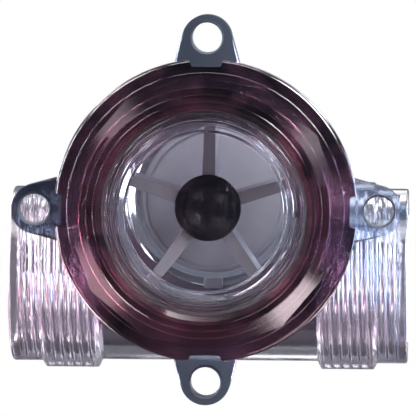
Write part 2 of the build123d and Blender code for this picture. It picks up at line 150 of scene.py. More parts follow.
# %% Node helpers
class Wire:
    """A socket that can be added, multiplied and compared like a number."""

    def __init__(self, kit, socket):
        self.kit = kit
        self.socket = socket

    def _math(self, operation, *others):
        return self.kit.add("ShaderNodeMath", {"operation": operation}, dict(enumerate(others)))

    def __add__(self, other):
        return self._math("ADD", self, other)

    def __sub__(self, other):
        return self._math("SUBTRACT", self, other)

    def __rsub__(self, other):
        return self._math("SUBTRACT", other, self)

    def __mul__(self, other):
        return self._math("MULTIPLY", self, other)

    def __truediv__(self, other):
        return self._math("DIVIDE", self, other)

    def __gt__(self, other):
        return self._math("GREATER_THAN", self, other)

    def of(self, operation, *others):
        return self._math(operation, self, *others)

    def held(self, low=0.0, high=1.0):
        return self._math("MINIMUM", self._math("MAXIMUM", self, low), high)


class Nodes:
    """Adds nodes to one shader or geometry tree."""

    def __init__(self, tree):
        self.tree = tree

    def add(self, kind, settings=None, values=None, out=0):
        node = self.tree.nodes.new(kind)
        for name, value in (settings or {}).items():
            setattr(node, name, value)
        for key, value in (values or {}).items():
            if isinstance(value, Wire):
                self.tree.links.new(value.socket, node.inputs[key])
            elif value is not None:
                node.inputs[key].default_value = value
        return Wire(self, node.outputs[out])

    def blend(self, factor, first, second):
        settings = {"data_type": "RGBA"}
        first, second = (v if isinstance(v, Wire) else (*v, 1) for v in (first, second))
        return self.add("ShaderNodeMix", settings, {0: factor, 6: first, 7: second}, out=2)

    def add_output(self, kind, surface):
        output = self.tree.nodes.new(kind)
        self.tree.links.new(surface.socket, output.inputs["Surface"])

    def noise(self, where, scale, detail=4.0, roughness=0.55, distortion=0.0):
        values = {
            "Vector": where,
            "Scale": scale,
            "Detail": detail,
            "Roughness": roughness,
            "Distortion": distortion,
        }
        return self.add("ShaderNodeTexNoise", {}, values)


print("helpers ready")

# %% [markdown]
# ## Finishes
# The body, the ring and the window are clear plastics with a tint. Light goes through them, so what
# is behind them shows, bent and darkened, and their own inner faces mirror the lamps. A solid colour
# would lose all of that. Each wall takes its share of the light, so a deep tint on the ring gives
# near black plum and a weak tint on the pipe leaves it grey. Lamps would cast hard black shadows
# through glass, so on shadow rays each clear finish turns into a plain tinted filter.

# %% Finish recipes
FINISHES = {}
MOULD_GRAIN = 5200.0


def start_finish(name):
    """A new material with its object coordinates."""
    material = bpy.data.materials.new(name)
    material.use_nodes = True
    material.node_tree.nodes.clear()
    kit = Nodes(material.node_tree)
    where = kit.add("ShaderNodeTexCoord", out=3)
    FINISHES[name] = material
    return kit, where


def end_finish(kit, values, filter_tint=None):
    """Puts a Principled surface behind the output; a filter tint lets the lamps through it."""
    surface = kit.add("ShaderNodeBsdfPrincipled", {}, values)
    if filter_tint:
        shadow_ray = kit.add("ShaderNodeLightPath", out=1)
        clear = kit.add("ShaderNodeBsdfTransparent", {}, {"Color": (*filter_tint, 1)})
        surface = kit.add("ShaderNodeMixShader", {}, {0: shadow_ray, 1: surface, 2: clear})
    kit.add_output("ShaderNodeOutputMaterial", surface)


def stretched(kit, where, scale):
    """Object coordinates scaled differently along each axis."""
    return kit.add("ShaderNodeMapping", {}, {"Vector": where, "Scale": scale})


def clear_plastic(
    name, deep, thin, passes, rough, flow, ripple=0.0, lean=(0, 0, 0), gloss=0.0, haze=0.0, swing=2.4
):
    """A clear moulded plastic whose tint drifts between two colours along the flow of the melt.

    passes is the tint that lamps keep through it. lean paints light and shade: how the tint turns
    lighter or darker across the object, per metre. gloss is its polish, haze the share that scatters,
    and swing how strongly the tint drifts.
    """
    kit, where = start_finish(name)
    drift = kit.noise(stretched(kit, where, flow), 1.0, detail=3.0, distortion=0.6)
    # painted light and shade: the tint is pushed lighter or darker along lean across the object
    painted_light_slope = kit.add("ShaderNodeVectorMath", {"operation": "DOT_PRODUCT"}, {0: where, 1: lean}, out=1)
    share = ((drift - 0.5) * swing + 0.5 + painted_light_slope).held()
    height = {"Strength": ripple, "Distance": 0.0005, "Height": drift}
    values = {
        "Base Color": kit.blend(share, deep, thin),
        "Roughness": drift * 0.02 + rough,
        "IOR": 1.53,
        "Transmission Weight": 1.0 - haze,
        "Coat Weight": gloss,
        "Coat Roughness": rough + 0.02,
        "Coat IOR": 2.0,
        "Normal": kit.add("ShaderNodeBump", {}, height),
    }
    end_finish(kit, values, passes)
    return FINISHES[name]


def solid_plastic(name, dark, light, rough, grain=0.06, lean=(0, 0, 0)):
    """An opaque moulded plastic with a fine grain from its mould, a slow drift of tone and painted light and
    shade along lean.
    """
    kit, where = start_finish(name)
    drift = kit.noise(stretched(kit, where, (60, 60, 60)), 1.0, detail=3.0)
    # painted light and shade: the tone is pushed lighter or darker along lean across the piece
    painted_light_slope = kit.add("ShaderNodeVectorMath", {"operation": "DOT_PRODUCT"}, {0: where, 1: lean}, out=1)
    rub = kit.noise(where, MOULD_GRAIN, detail=2.0)
    height = {"Strength": grain, "Distance": 0.00005, "Height": rub}
    values = {
        "Base Color": kit.blend((drift + painted_light_slope).held(), dark, light),
        "Roughness": drift * 0.08 + rub * 0.06 + rough,
        "Normal": kit.add("ShaderNodeBump", {}, height),
    }
    end_finish(kit, values)
    return FINISHES[name]


# %% The clear plastics
# The slate turns darker towards the left (lean): painted shade on the left ear.
SLATE = clear_plastic(
    "slate_ear",
    (0.1, 0.12, 0.17),
    (0.62, 0.7, 0.86),
    (0.5, 0.55, 0.65),
    0.12,
    (40, 40, 40),
    lean=(14, 0, 0),
    swing=0.4,
)
PIPE_GREY = clear_plastic(
    "smoke_pipe",
    (0.66, 0.66, 0.71),
    (0.8, 0.79, 0.83),
    (0.7, 0.7, 0.74),
    0.1,
    (30, 60, 90),
)
# The thread tint turns lighter and pinker towards the lower left (lean): a painted highlight.
THREAD_CLEAR = clear_plastic(
    "clear_thread",
    (0.3, 0.42, 0.56),
    (0.86, 0.72, 0.79),
    (0.7, 0.72, 0.8),
    0.03,
    (60, 25, 25),
    lean=(-7, 0, -16),
    gloss=0.5,
    haze=0.05,
)
WALL_SMOKE = clear_plastic(
    "barrel_smoke",
    (0.05, 0.05, 0.085),
    (0.3, 0.17, 0.24),
    (0.5, 0.5, 0.56),
    0.03,
    (40, 30, 40),
    gloss=0.5,
    haze=0.1,
)
# The chamber tint turns lighter towards the right and the bottom and darker at the top (lean): painted
# reflection on the chamber wall.
CHAMBER_CLEAR = clear_plastic(
    "chamber_clear",
    (0.16, 0.1, 0.17),
    (0.78, 0.88, 1.0),
    (0.6, 0.64, 0.7),
    0.02,
    (45, 20, 45),
    ripple=0.01,
    lean=(14, 0, -24),
    gloss=1.0,
    haze=0.07,
)
# The ring's tint turns lighter and pinker towards the lower left (lean): painted pink highlights.
PLUM = clear_plastic(
    "plum_ring",
    (0.05, 0.03, 0.052),
    (0.6, 0.26, 0.36),
    (0.45, 0.32, 0.39),
    0.1,
    (80, 80, 80),
    ripple=0.02,
    lean=(-5, 0, -9),
    gloss=0.6,
    haze=0.018,
    swing=3.0,
)
WINDOW = clear_plastic(
    "clear_window",
    (0.95, 0.95, 0.965),
    (0.98, 0.975, 0.98),
    (0.95, 0.96, 0.97),
    0.0,
    (50, 50, 50),
)
print("clear finishes:", len(FINISHES))

# %% The solid plastics
# The floor turns lighter towards the upper right (lean): painted light from the window.
FLOOR_SATIN = solid_plastic(
    "chamber_floor",
    (0.11, 0.104, 0.108),
    (0.25, 0.245, 0.258),
    0.42,
    lean=(9, 0, 13),
)
HUB_BLACK = solid_plastic("hub_black", (0.004, 0.0035, 0.006), (0.008, 0.006, 0.01), 0.07, 0.01)
BLADE_GREY = solid_plastic("blade_grey", (0.09, 0.083, 0.092), (0.12, 0.11, 0.124), 0.34, 0.05)
HOLE_SLATE = solid_plastic("slate_hole", (0.045, 0.055, 0.075), (0.065, 0.08, 0.105), 0.5)
SEAL = solid_plastic("seal_rubber", (0.008, 0.008, 0.009), (0.014, 0.014, 0.016), 0.5)
WASHER_DARK = solid_plastic("washer_dark", (0.03, 0.026, 0.032), (0.045, 0.04, 0.048), 0.45)
WASHER = solid_plastic("washer_white", (0.7, 0.7, 0.68), (0.8, 0.8, 0.77), 0.4)
BUSHING = solid_plastic("bushing_ivory", (0.55, 0.52, 0.46), (0.65, 0.62, 0.55), 0.4)
print("finishes:", len(FINISHES))

# %% Ground steel for the axle
def ground_steel():
    """Stainless pin stock with fine grinding marks round it."""
    kit, where = start_finish("axle_steel")
    marks = kit.noise(stretched(kit, where, (200, 4000, 200)), 1.0, detail=2.0)
    dent = kit.add("ShaderNodeBump", {}, {"Strength": 0.1, "Distance": 0.0002, "Height": marks})
    values = {
        "Base Color": (0.62, 0.62, 0.64, 1),
        "Metallic": 1.0,
        "Roughness": marks * 0.15 + 0.22,
        "Normal": dent,
    }
    end_finish(kit, values)
    return FINISHES["axle_steel"]


STEEL = ground_steel()

# %% [markdown]
# ## Shapes
# Most of this object was turned or moulded round an axis. `softened` rounds a profile's corners, and
# `turned` spins it. Flat outlines with thickness, such as ears and blades, come from `plate`.

# %% Profiles and turned shapes
def softened(points, steps=4):
    """A profile whose corners are rounded: each point is (a, b) or (a, b, radius)."""
    out = []
    count = len(points)
    for i, point in enumerate(points):
        radius = point[2] if len(point) > 2 else 0.0
        here = Vector(point[:2])
        if not radius:
            out.append(here)
            continue
        before = (Vector(points[i - 1][:2]) - here).normalized()
        after = (Vector(points[(i + 1) % count][:2]) - here).normalized()
        half = before.angle(after) / 2
        reach = radius / math.tan(half)
        centre = here + (before + after).normalized() * (radius / math.sin(half))
        start = here + before * reach - centre
        end = here + after * reach - centre
        sweep = start.angle_signed(end)
        for k in range(steps + 1):
            out.append(centre + Matrix.Rotation(-sweep * k / steps, 2) @ start)
    return out


def new_piece(name, made, material):
    """A mesh object from a bmesh in millimetres, with faces out and doubles merged."""
    bmesh.ops.remove_doubles(made, verts=made.verts, dist=0.0005)
    bmesh.ops.recalc_face_normals(made, faces=made.faces)
    for face in made.faces:
        face.smooth = True
    mesh = bpy.data.meshes.new(name)
    made.to_mesh(mesh)
    made.free()
    mesh.transform(Matrix.Scale(MM, 4))
    mesh.materials.append(material)
    piece = bpy.data.objects.new(name, mesh)
    bpy.context.scene.collection.objects.link(piece)
    return piece


def turned(name, profile, material, steps=240, along="Y", centre=(0, 0)):
    """A profile of (radius, y) points spun about the rotor's axis, or (x, radius) about the pipe's."""
    made = bmesh.new()
    rows = []
    for point in profile:
        radius, place = (point[0], point[1]) if along == "Y" else (point[1], point[0])
        row = []
        for k in range(steps if radius > 1e-6 else 1):
            a = 2 * math.pi * k / steps
            u, v = radius * math.cos(a), radius * math.sin(a)
            spot = (u, place, v) if along == "Y" else (place, u + centre[0], v + centre[1])
            row.append(made.verts.new(spot))
        rows.append(row)
    closed = len(rows[0]) > 1 or len(rows[-1]) > 1
    pairs = list(zip(rows, rows[1:]))
    if closed:
        pairs.append((rows[-1], rows[0]))
    for first, second in pairs:
        for k in range(steps):
            n = (k + 1) % steps
            corners = [first[k % len(first)], first[n % len(first)]]
            corners += [second[n % len(second)], second[k % len(second)]]
            corners = list(dict.fromkeys(corners))
            if len(corners) > 2:
                made.faces.new(corners)
    return new_piece(name, made, material)


def plate(name, outline, back_y, front_y, material, edge=0.0, edge_steps=2):
    """A flat outline seen from the front, solid from back_y to front_y, with softened rims."""
    made = bmesh.new()
    back = [made.verts.new((p[0], back_y, p[1])) for p in outline]
    front = [made.verts.new((p[0], front_y, p[1])) for p in outline]
    count = len(outline)
    faces = [made.faces.new(back), made.faces.new(front)]
    for i in range(count):
        made.faces.new((back[i], back[(i + 1) % count], front[(i + 1) % count], front[i]))
    if edge:
        rims = [e for face in faces for e in face.edges]
        bmesh.ops.bevel(made, geom=rims, offset=edge, segments=edge_steps, profile=0.5, affect="EDGES")
    return new_piece(name, made, material)


def polar(radius, degrees):
    """The point at a radius and an angle."""
    turn = math.radians(degrees)
    return Vector((radius * math.cos(turn), radius * math.sin(turn)))


def arc(radius, start, end, steps=12, centre=(0, 0)):
    """Points along an arc, angles in degrees."""
    turn = [math.radians(start + (end - start) * k / steps) for k in range(steps + 1)]
    return [Vector((centre[0] + radius * math.cos(a), centre[1] + radius * math.sin(a))) for a in turn]


def lug_outline(inner, outer):
    """The outline of a bayonet lug: part of an annulus centred on +X."""
    return arc(outer, -LUG_HALF_ANGLE, LUG_HALF_ANGLE) + arc(inner, LUG_HALF_ANGLE, -LUG_HALF_ANGLE)


print("shape helpers ready")

# %% [markdown]
# ## Repeats and solids
# Anything that repeats round the axis is one shape and a Geometry Nodes tree that places copies of it.
# The tree ends in Realize Instances and Set Material, and its result is taken as a plain mesh.
# Solids are joined and cut with exact booleans, which carry each tool's finish onto the faces it makes.

# %% Geometry Nodes: copies round the axis
def repeat_tree():
    """Places copies of the incoming mesh at even angles about the rotor's axis."""
    tree = bpy.data.node_groups.new("copies_round_axis", "GeometryNodeTree")
    face = tree.interface
    face.new_socket("Shape", in_out="INPUT", socket_type="NodeSocketGeometry")
    face.new_socket("Count", in_out="INPUT", socket_type="NodeSocketInt")
    face.new_socket("First angle", in_out="INPUT", socket_type="NodeSocketFloat")
    face.new_socket("Sweep", in_out="INPUT", socket_type="NodeSocketFloat")
    face.new_socket("Finish", in_out="INPUT", socket_type="NodeSocketMaterial")
    face.new_socket("Shape", in_out="OUTPUT", socket_type="NodeSocketGeometry")
    kit = Nodes(tree)
    given = tree.nodes.new("NodeGroupInput")
    shape, count, first, sweep, finish = (Wire(kit, given.outputs[i]) for i in range(5))
    dots = kit.add("GeometryNodePoints", {}, {"Count": count})
    index = kit.add("GeometryNodeInputIndex")
    angle = (first + index * sweep / count) * (-math.pi / 180)
    spin = kit.add("ShaderNodeCombineXYZ", {}, {"Y": angle})
    values = {"Points": dots, "Instance": shape, "Rotation": spin}
    copies = kit.add("GeometryNodeInstanceOnPoints", {}, values)
    solid = kit.add("GeometryNodeRealizeInstances", {}, {0: copies})
    done = kit.add("GeometryNodeSetMaterial", {}, {"Geometry": solid, "Material": finish})
    output = tree.nodes.new("NodeGroupOutput")
    tree.links.new(done.socket, output.inputs[0])
    return tree


def grown(piece, tree, **inputs):
    """Runs a tree on a piece and keeps the result as its plain mesh."""
    modifier = piece.modifiers.new(tree.name, "NODES")
    modifier.node_group = tree
    for item in tree.interface.items_tree:
        if item.in_out == "INPUT" and item.name in inputs:
            modifier[item.identifier] = inputs[item.name]
    return settled(piece)


def settled(piece):
    """Applies a piece's modifiers and removes them."""
    bpy.context.view_layer.update()
    graph = bpy.context.evaluated_depsgraph_get()
    mesh = bpy.data.meshes.new_from_object(piece.evaluated_get(graph))
    piece.modifiers.clear()
    piece.data = mesh
    return piece


COPIES = repeat_tree()


def around(piece, count, first=0.0, sweep=360.0):
    """Copies of a piece at even angles about the rotor's axis, as one mesh."""
    finish = piece.data.materials[0]
    inputs = {"Count": count, "First angle": float(first), "Sweep": float(sweep), "Finish": finish}
    return grown(piece, COPIES, **inputs)


# %% Joining and cutting
def worked(piece, operation, tools):
    """Joins tools to a piece, or cuts them from it, with exact booleans, and removes the tools."""
    for tool in tools:
        step = piece.modifiers.new(tool.name, "BOOLEAN")
        step.operation = operation
        step.solver = "EXACT"
        step.material_mode = "TRANSFER"
        step.object = tool
        settled(piece)
        bpy.data.objects.remove(tool)
    return piece


def joined(piece, *tools):
    return worked(piece, "UNION", tools)


def cut(piece, *tools):
    return worked(piece, "DIFFERENCE", tools)


def shown(piece, body, slot, *nodes_replaced):
    """Finishes a piece and lets it ride on its body in place of its nodes.

    Normals follow the larger faces, because a flat window with tilted normals bends light like a lens.
    """
    piece.data.shade_smooth()
    piece.data.set_sharp_from_angle(angle=math.radians(SHARP_ANGLE))
    flat = piece.modifiers.new("flat_faces", "WEIGHTED_NORMAL")
    flat.mode = "FACE_AREA"
    flat.keep_sharp = True
    mesh = settled(piece).data
    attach(piece, body)
    if nodes_replaced:
        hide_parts(*nodes_replaced)
    print(piece.name, "faces:", len(mesh.polygons), "finishes:", [m.name for m in mesh.materials if m])
    return piece


# %% [markdown]
# ## Port threads
# A tapped port is a screw-shaped hole. Its radius depends only on how far along it a point is and on
# how far round, so a grid bent by that rule makes the tap, and the tap is cut out of the pipe.

# %% Geometry Nodes: the tap
def tap_tree():
    """A grid wrapped into a screw: crest and root follow one helix about the pipe's axis."""
    tree = bpy.data.node_groups.new("port_tap", "GeometryNodeTree")
    face = tree.interface
    face.new_socket("Shape", in_out="INPUT", socket_type="NodeSocketGeometry")
    for name in ("Start", "Length", "Pitch", "Crest radius", "Depth", "Side"):
        face.new_socket(name, in_out="INPUT", socket_type="NodeSocketFloat")
    face.new_socket("Finish", in_out="INPUT", socket_type="NodeSocketMaterial")
    face.new_socket("Shape", in_out="OUTPUT", socket_type="NodeSocketGeometry")
    kit = Nodes(tree)
    given = tree.nodes.new("NodeGroupInput")
    start, length, pitch, crest, depth, side = (Wire(kit, given.outputs[i]) for i in range(1, 7))
    finish = Wire(kit, given.outputs[7])
    values = {"Size X": 1.0, "Size Y": 1.0, "Vertices X": 241, "Vertices Y": 97}
    grid = kit.add("GeometryNodeMeshGrid", {}, values)
    place = kit.add("GeometryNodeInputPosition")
    split = kit.tree.nodes.new("ShaderNodeSeparateXYZ")
    kit.tree.links.new(place.socket, split.inputs[0])
    along = Wire(kit, split.outputs[0]) + 0.5
    turn = Wire(kit, split.outputs[1]) + 0.5
    travel = start + along * length
    phase = (travel / pitch - turn).of("FRACT")
    flank = 1 - (phase - 0.5).of("ABSOLUTE") * 2
    ramp = (flank * 1.6 - 0.3).held()
    tooth = ramp * ramp * (3 - ramp * 2)
    at_end = (along - 0.5).of("ABSOLUTE") > 0.4999
    radius = (crest + depth * tooth) * (1 - at_end)
    angle = turn * (2 * math.pi)
    x = travel * side
    y = radius * angle.of("COSINE") + PIPE_Y * MM
    z = radius * angle.of("SINE") * side + PIPE_Z * MM
    spot = kit.add("ShaderNodeCombineXYZ", {}, {"X": x, "Y": y, "Z": z})
    bent = kit.add("GeometryNodeSetPosition", {}, {"Geometry": grid, "Position": spot})
    closed = kit.add("GeometryNodeMergeByDistance", {}, {"Geometry": bent, "Distance": 1e-6})
    solid = kit.add("GeometryNodeRealizeInstances", {}, {0: closed})
    done = kit.add("GeometryNodeSetMaterial", {}, {"Geometry": solid, "Material": finish})
    output = tree.nodes.new("NodeGroupOutput")
    tree.links.new(done.socket, output.inputs[0])
    return tree


TAP = tap_tree()
THREAD_END = PIPE_HALF - MOUTH_DEPTH
PORT_START = THREAD_END - THREAD_LENGTH


def port_tap(side):
    """The screw that cuts one port's thread: side is 1 on the right and -1 on the left."""
    tap = new_piece("tap", bmesh.new(), THREAD_CLEAR)
    inputs = {
        "Start": PORT_START * MM,
        "Length": (THREAD_END + 0.4 - PORT_START) * MM,
        "Pitch": PITCH * MM,
        "Crest radius": CREST_R * MM,
        "Depth": THREAD_DEPTH * MM,
        "Side": float(side),
        "Finish": THREAD_CLEAR,
    }
    tap = grown(tap, TAP, **inputs)
    made = bmesh.new()
    made.from_mesh(tap.data)
    bmesh.ops.recalc_face_normals(made, faces=made.faces)
    made.to_mesh(tap.data)
    made.free()
    print("tap faces:", len(tap.data.polygons))
    return tap


# %% [markdown]
# ## Body
# The real body is one moulding. Here its pipe, drum, flange, ears and barrel are separate closed
# shapes that are joined, then the chamber, the waterway, the ports and the holes are cut away, as a
# mould's cores would leave them. Each tool's finish stays on the faces that it leaves behind.

# %% Body: outer shapes
def pipe_outside():
    """The pipe with its two collars: a plain middle, drafted collar sides and softened ends."""
    half = [
        (25.8, 20.5),
        (26.7, COLLAR_R, 0.4),
        (39.1, COLLAR_R, 0.4),
        (40.0, 20.9),
        (PIPE_HALF, 20.9, 0.6),
        (PIPE_HALF, 0),
    ]
    left = [(-p[0], *p[1:]) for p in reversed(half)]
    return turned("body_shell", softened(left + half), PIPE_GREY, along="X", centre=(PIPE_Y, PIPE_Z))


def drum_outside():
    """The chamber's outer wall and its rounded back."""
    profile = [(0, -3), (DRUM_R, -3), (DRUM_R, DRUM_BACK, 2.5), (0, DRUM_BACK)]
    return turned("drum", softened(profile), PIPE_GREY)


def flange_disc():
    """The flange behind the ring, with a softened rim."""
    profile = [(0, 0), (35.3, 0, 0.5), (35.3, FLANGE_FRONT, 0.5), (0, FLANGE_FRONT)]
    return turned("flange", softened(profile), SLATE)


def ears():
    """Four ears: straight tapered sides that run into a round tip."""
    tip_r = 5.9
    tip_x = EAR_REACH - tip_r
    root_x, root_half = 31.0, 8.6
    lean = math.degrees(math.atan2(root_half - tip_r, tip_x - root_x))
    outline = [(root_x, -root_half)]
    outline += arc(tip_r, -90 + lean, 90 - lean, 20, centre=(tip_x, 0))
    outline += [(root_x, root_half)]
    return around(plate("ears", outline, 0.0, FLANGE_FRONT, SLATE, edge=0.5, edge_steps=3), 4)


def barrel():
    """The round neck that carries the bayonet lugs and the seal's groove."""
    profile = [
        (0, -3),
        (BARREL_R, -3),
        (BARREL_R, BARREL_FRONT, 0.3),
        (SEAL_GROOVE_OUT, BARREL_FRONT),
        (SEAL_GROOVE_OUT, BARREL_FRONT + SEAL_GROOVE_DEPTH),
        (SEAL_GROOVE_IN, BARREL_FRONT + SEAL_GROOVE_DEPTH),
        (SEAL_GROOVE_IN, BARREL_FRONT),
        (0, BARREL_FRONT),
    ]
    return turned("barrel", softened(profile), WALL_SMOKE)


def barrel_lugs():
    """The four lugs that the ring turns behind."""
    outline = lug_outline(BARREL_R - 1, 29.0)
    lug = plate("barrel_lugs", outline, BARREL_FRONT + 2.5, BARREL_FRONT + 0.02, WALL_SMOKE, edge=0.25)
    return around(lug, 4)


# %% Body: cores that are cut away
def chamber_core():
    """The space the blades turn in, with its rounded corner and its satin floor."""
    profile = [(0, BARREL_FRONT - 1), (CHAMBER_R, BARREL_FRONT - 1), (CHAMBER_R, FLOOR_Y, 3.7), (0, FLOOR_Y)]
    core = turned("chamber_core", softened(profile, 10), CHAMBER_CLEAR)
    core.data.materials.append(FLOOR_SATIN)
    for face in core.data.polygons:
        if face.center.y > (FLOOR_Y - 0.05) * MM:
            face.material_index = 1
    return core


def ear_drills():
    """The drill for the four ear holes, with a small countersink at each face."""
    wide = EAR_HOLE_R + 1.35
    profile = [
        (0, 1),
        (wide, 1),
        (EAR_HOLE_R, -0.35),
        (EAR_HOLE_R, FLANGE_FRONT + 0.35),
        (wide, FLANGE_FRONT - 1),
        (0, FLANGE_FRONT - 1),
    ]
    drill = turned("ear_drill", profile, HOLE_SLATE, steps=48)
    drill.data.transform(Matrix.Translation((BOLT_CIRCLE_R * MM, 0, 0)))
    return around(drill, 4)


def waterway_core():
    """The straight passage from port to port."""
    end = PORT_START + 1
    profile = [(-end, 0), (-end, WATERWAY_R), (end, WATERWAY_R), (end, 0)]
    return turned("waterway", profile, WALL_SMOKE, along="X", centre=(PIPE_Y, PIPE_Z))


def mouth_core(side):
    """The plain mouth in front of a port's thread."""
    inner, outer = THREAD_END, PIPE_HALF + 1
    profile = [(inner, 0), (inner, MOUTH_R), (PIPE_HALF - 0.4, MOUTH_R), (outer, MOUTH_FLARE_R), (outer, 0)]
    profile = [(side * p[0], p[1]) for p in profile]
    return turned("mouth", profile, THREAD_CLEAR, along="X", centre=(PIPE_Y, PIPE_Z))


# %% Body: floor details
def floor_boss():
    """The boss on the chamber floor that holds the axle."""
    profile = [(0, FLOOR_Y + 0.5), (5.0, FLOOR_Y + 0.5), (3.6, 23.0, 0.3)]
    profile += [(1.62, 23.0), (1.62, 28.4), (0, 28.4)]
    return turned("floor_boss", softened(profile), FLOOR_SATIN, steps=64)


def floor_rim():
    """The low rim round the floor."""
    y = FLOOR_Y
    profile = [(FLOOR_RIM_IN, y + 0.3), (FLOOR_RIM_IN, y - 0.4, 0.15)]
    profile += [(FLOOR_RIM_OUT, y - 0.4, 0.15), (FLOOR_RIM_OUT, y + 0.3)]
    return turned("floor_rim", softened(profile), FLOOR_SATIN)


def floor_rib():
    """The small rib at the bottom of the chamber."""
    outline = [(-2.25, -CHAMBER_R - 0.5), (2.25, -CHAMBER_R - 0.5), (2.25, -19.0), (-2.25, -19.0)]
    return plate("floor_rib", outline, FLOOR_Y, FLOOR_Y - 3.0, FLOOR_SATIN, edge=0.25)


# %% Body: put together
shell = joined(pipe_outside(), drum_outside(), flange_disc(), ears(), barrel(), barrel_lugs())
shell = cut(shell, chamber_core(), waterway_core())
shell = joined(shell, floor_boss(), floor_rim(), floor_rib())
shell = cut(shell, port_tap(1), port_tap(-1), mouth_core(1), mouth_core(-1), ear_drills())
shown(shell, "housing", "smoke_body", "body")

# %% [markdown]
# ## Locking ring
# The ring has a notched rim, a step, a twelve-sided grip and a bevelled opening. Its front band carries
# a raised arrow that shows which way it opens.

# %% Locking ring
RING_BACK = ring_high.y
RING_FRONT = ring_low.y + 0.3
RIM_FRONT = RING_BACK - 3.2
BAND_SLOPE = 12.0
OPENING_R = 23.9
OPENING_BEVEL = 1.4
GROOVE_IN = 25.9
GROOVE_OUT = 27.7
GROOVE_DEPTH = 0.9
STEP_R = 32.6
STEP_HEIGHT = 0.8
GRIP_CORNER_R = 32.0
GRIP_SIDES = 12
GRIP_TURN = 5


def ring_core():
    """The hollow behind the ring's front web."""
    profile = [(0, RING_BACK + 1), (29.3, RING_BACK + 1), (29.3, -15.2, 0.5), (0, -15.2)]
    return turned("ring_core", softened(profile), PLUM)


def ring_rim():
    """The rim and the step in front of it."""
    profile = [
        (0, RING_BACK),
        (RIM_R, RING_BACK, 0.4),
        (RIM_R, RIM_FRONT, 1.0),
        (STEP_R, RIM_FRONT),
        (STEP_R, RIM_FRONT - STEP_HEIGHT, 0.3),
        (0, RIM_FRONT - STEP_HEIGHT),
    ]
    return turned("ring_shell", softened(profile), PLUM)


def ring_grip():
    """The twelve-sided grip, with softened corners and edges."""
    corners = [polar(GRIP_CORNER_R, GRIP_TURN - 360 / GRIP_SIDES * i) for i in range(GRIP_SIDES)]
    outline = softened([(*c, 0.5) for c in corners], 3)
    return plate("ring_grip", outline, RIM_FRONT + 0.5, RING_FRONT, PLUM, edge=0.7, edge_steps=2)


def opening_core():
    """The round opening with its bevel."""
    y = RING_FRONT
    wide = OPENING_R + OPENING_BEVEL
    profile = [(0, -15), (OPENING_R, -15), (OPENING_R, y + OPENING_BEVEL, 0.3)]
    profile += [(wide, y, 0.2), (wide, y - 1), (0, y - 1)]
    return turned("opening_core", softened(profile), PLUM)


def band_core():
    """The front band falls away a little from the groove to the grip's corners."""
    y = RING_FRONT
    inner, outer = GROOVE_OUT, 33.5
    fall = (outer - inner) * math.tan(math.radians(BAND_SLOPE))
    profile = [(inner, y - 1), (inner, y), (outer, y + fall), (outer, y - 1)]
    return turned("band_core", profile, PLUM)


def groove_core():
    """The groove between the opening and the front band."""
    y = RING_FRONT
    floor = y + GROOVE_DEPTH
    profile = [(GROOVE_IN, y - 1), (GROOVE_IN, floor, 0.3), (GROOVE_OUT, floor, 0.3), (GROOVE_OUT, y - 1)]
    return turned("groove_core", softened(profile), PLUM)


def rim_notches():
    """The four notches in the rim, in front of the ears."""
    outline = [(33.8, -3.4), (36.6, -4.6), (36.6, 4.6), (33.8, 3.4)]
    outline = softened([(p[0], p[1], 0.6) if p[0] < 34 else p for p in outline])
    return around(plate("rim_notches", outline, RING_BACK + 1, RIM_FRONT - 0.5, PLUM), 4)


def ring_lugs():
    """The ring's own lugs, which sit behind the barrel's."""
    outline = lug_outline(26.9, 30.3)
    return around(plate("ring_lugs", outline, RING_BACK - 0.02, -9.2, PLUM, edge=0.25), 4)


def turn_arrow():
    """A raised arc with an arrow head."""
    start, end, tip = 142, 172, 177
    inner, outer = 28.2, 28.9
    head = [polar(29.55, end), polar((inner + outer) / 2, tip), polar(27.75, end)]
    outline = arc(outer, start, end, 16) + head + arc(inner, end, start, 16)
    return plate("turn_arrow", outline, RING_FRONT + 0.5, RING_FRONT - 0.3, PLUM)


ring = joined(ring_rim(), ring_grip())
ring = cut(ring, ring_core(), opening_core(), band_core(), groove_core(), rim_notches())
ring = joined(ring, ring_lugs(), turn_arrow())
shown(ring, "ring", "plum_ring", "locking_ring")

# %% [markdown]
# ## Window
# The window is turned in one piece: a flange under the ring, fine rings that step down to its middle,
# and a spigot that centres it in the chamber. A small tab on its face shows where its key is.

# %% Window
def window():
    """The clear window with its finely stepped face, its spigot, its key and its tab."""
    front = lens_low.y
    inner = front + 5.0
    first_ring, ring_pitch, ring_count = 20.1, 0.46, 6
    rings = []
    for i in range(ring_count):
        radius = first_ring + i * ring_pitch
        y = front + 0.7 - i * 0.1
        rings += [(radius, y), (radius + 0.16, y - 0.22), (radius + 0.3, y - 0.1)]
    profile = [
        (0, front + 0.7),
        *rings,
        (23.3, front, 0.4),
        (23.3, -14.4),
        (26.2, -14.4, 0.3),
        (26.2, BARREL_FRONT, 0.2),
        (20.7, BARREL_FRONT),
        (20.7, lens_high.y, 0.3),
        (19.0, lens_high.y, 0.3),
        (19.0, inner, 0.6),
        (0, inner),
    ]
    piece = turned("window", softened(profile), WINDOW)
    outline = [(25.5, -1.6), (26.2, -1.6), (26.2, 1.6), (25.5, 1.6)]
    key = plate("window_key", outline, BARREL_FRONT + 1.2, -13.0, WINDOW)
    outline = [(20.6, -0.8), (22.2, -0.8), (22.2, 0.8), (20.6, 0.8)]
    tab = plate("window_tab", outline, front + 1.5, front + 0.02, WINDOW)
    return joined(piece, key, tab)


shown(window(), "housing", "clear_window", "lens")

# %% [markdown]
# ## Rotor
# One blade is a plate that thins towards its tip. Five copies stand round the hub, and the black
# stepped cap covers their roots.

